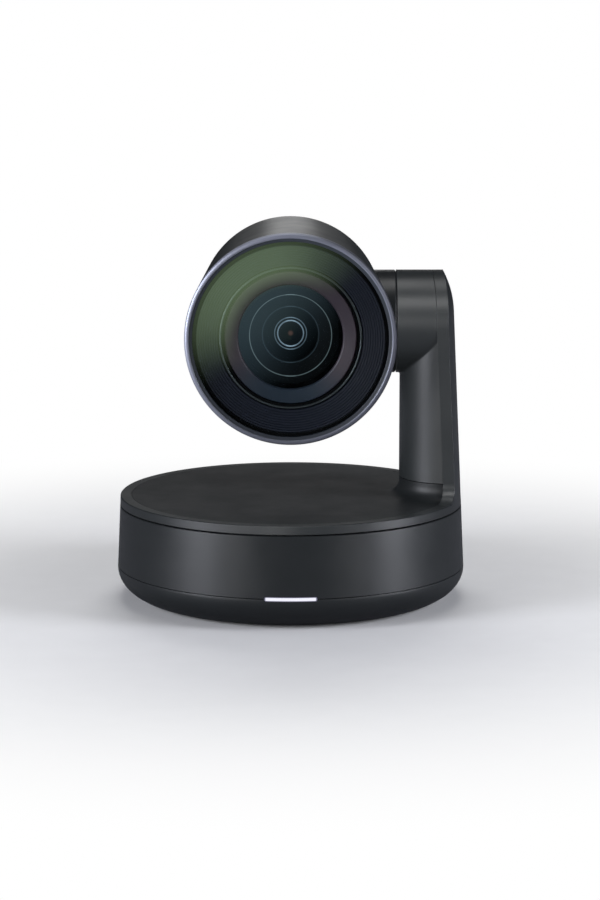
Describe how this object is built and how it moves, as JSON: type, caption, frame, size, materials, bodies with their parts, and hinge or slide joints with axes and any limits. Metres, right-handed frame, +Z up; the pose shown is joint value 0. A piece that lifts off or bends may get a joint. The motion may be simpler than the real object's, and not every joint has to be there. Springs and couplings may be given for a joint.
{
  "type": "pan tilt zoom camera",
  "caption": "Conference-room camera: drum head with a flat round window on a one-sided arm, on a round turntable and base, with geared pan and tilt and a motor zoom lens.",
  "frame": {"origin": "centre of the underside of the base, on the pan axis", "axes": "+Z up along the pan axis; the lens looks along -Y at rest; the arm stands at +X"},
  "size_m": [0.152, 0.152, 0.1654],
  "materials": {
    "shell_plastic": "fine satin, dark slate grey",
    "bezel_metal": "anodised, lilac grey",
    "window_glass": "coated, clear",
    "lens_glass": "coated, clear",
    "black_plastic": "matt black",
    "trim_metal": "turned, bright",
    "mauve_coating": "satin, mauve",
    "light_bar": "milky, lit from behind",
    "rubber": "matt, ribbed",
    "brass": "machined",
    "cast_alloy": "as cast",
    "steel": "ground",
    "motor_can": "zinc plated",
    "gear_plastic": "natural acetal",
    "circuit_board": "green solder mask",
    "socket_metal": "plated",
    "cable": "satin sheath"
  },
  "bodies": {
    "base": {"base_bottom_shell": "shell_plastic", "base_side_shell": "shell_plastic", "status_light_bar": "light_bar", "status_light_board": "circuit_board", "rubber_foot_ring": "rubber", "tripod_insert": "brass", "base_screws": "steel", "base_frame": "cast_alloy", "pan_bearing_outer_ring": "steel", "pan_bearing_retainer": "steel", "pan_motor": "motor_can", "pan_home_sensor": "black_plastic", "main_board": "circuit_board", "power_jack": "socket_metal", "usb_port": "socket_metal", "video_port": "socket_metal"},
    "pan_pinion": {"pan_pinion": "gear_plastic"},
    "pairing_button": {"pairing_button": "shell_plastic"},
    "turntable": {"turntable_outer_shell": "shell_plastic", "turntable_cover": "shell_plastic", "arm_inner_cover": "shell_plastic", "turntable_frame": "cast_alloy", "pan_gear": "gear_plastic", "pan_bearing_ring_and_balls": "steel", "arm_frame": "cast_alloy", "turntable_screws": "steel", "arm_flex_cable": "cable", "tilt_drive_board": "circuit_board", "tilt_bearing_outer_rings": "steel", "tilt_motor": "motor_can"},
    "tilt_pinion": {"tilt_pinion": "gear_plastic"},
    "head": {"tilt_shaft": "steel", "tilt_bearing_rings_and_balls": "steel", "tilt_gear": "gear_plastic", "barrel_shell": "shell_plastic", "rear_cap": "shell_plastic", "rear_cap_screws": "steel", "front_bezel_ring": "bezel_metal", "front_window": "window_glass", "window_gasket": "black_plastic", "lens_baffle": "black_plastic", "lens_trim_ring": "trim_metal", "lens_retaining_ring": "mauve_coating", "lens_barrel": "black_plastic", "front_lens": "lens_glass", "second_lens_cell": "black_plastic", "fixed_lenses": "lens_glass", "lens_guide_rods": "steel", "lens_motors": "motor_can", "image_sensor_board": "circuit_board", "processor_board": "circuit_board", "heat_sink": "cast_alloy", "head_frame": "cast_alloy", "head_cable": "cable"},
    "zoom_group": {"zoom_carrier": "black_plastic", "zoom_lens": "lens_glass"},
    "zoom_screw": {"zoom_screw": "steel"},
    "focus_group": {"focus_carrier": "black_plastic", "focus_lens": "lens_glass"},
    "focus_screw": {"focus_screw": "steel"}
  },
  "joints": [
    {"name": "pan", "type": "hinge", "parent": "base", "child": "turntable", "pos_m": [0, 0, 0.0335], "axis": [0, 0, 1], "range_deg": [-90, 90]},
    {"name": "pan_pinion_spin", "type": "hinge", "parent": "base", "child": "pan_pinion", "pos_m": [0, -0.044, 0.0225], "axis": [0, 0, 1], "range_deg": [-406, 406]},
    {"name": "tilt", "type": "hinge", "parent": "turntable", "child": "head", "pos_m": [0.055, 0, 0.1211], "axis": [-1, 0, 0], "range_deg": [-90, 50]},
    {"name": "tilt_pinion_spin", "type": "hinge", "parent": "turntable", "child": "tilt_pinion", "pos_m": [0.0635, 0, 0.0979], "axis": [-1, 0, 0], "range_deg": [-158, 284]},
    {"name": "zoom", "type": "slide", "parent": "head", "child": "zoom_group", "axis": [0, 1, 0], "range_m": [-0.008, 0.006]},
    {"name": "zoom_screw_spin", "type": "hinge", "parent": "head", "child": "zoom_screw", "pos_m": [0.023, 0, 0.1211], "axis": [0, 1, 0], "range_deg": [-961, 721]},
    {"name": "focus", "type": "slide", "parent": "head", "child": "focus_group", "axis": [0, 1, 0], "range_m": [-0.004, 0.005]},
    {"name": "focus_screw_spin", "type": "hinge", "parent": "head", "child": "focus_screw", "pos_m": [-0.023, 0, 0.1211], "axis": [0, 1, 0], "range_deg": [-481, 601]},
    {"name": "pairing_button_press", "type": "slide", "parent": "base", "child": "pairing_button", "axis": [0, -1, 0], "range_m": [0, 0.0008]}
  ],
  "couplings": [
    {"joint": "pan_pinion_spin", "follows": "pan", "ratio": -4.5},
    {"joint": "tilt_pinion_spin", "follows": "tilt", "ratio": -3.1429},
    {"joint": "zoom_screw_spin", "follows": "zoom", "rad_per_m": 2094.4},
    {"joint": "focus_screw_spin", "follows": "focus", "rad_per_m": 2094.4}
  ]
}
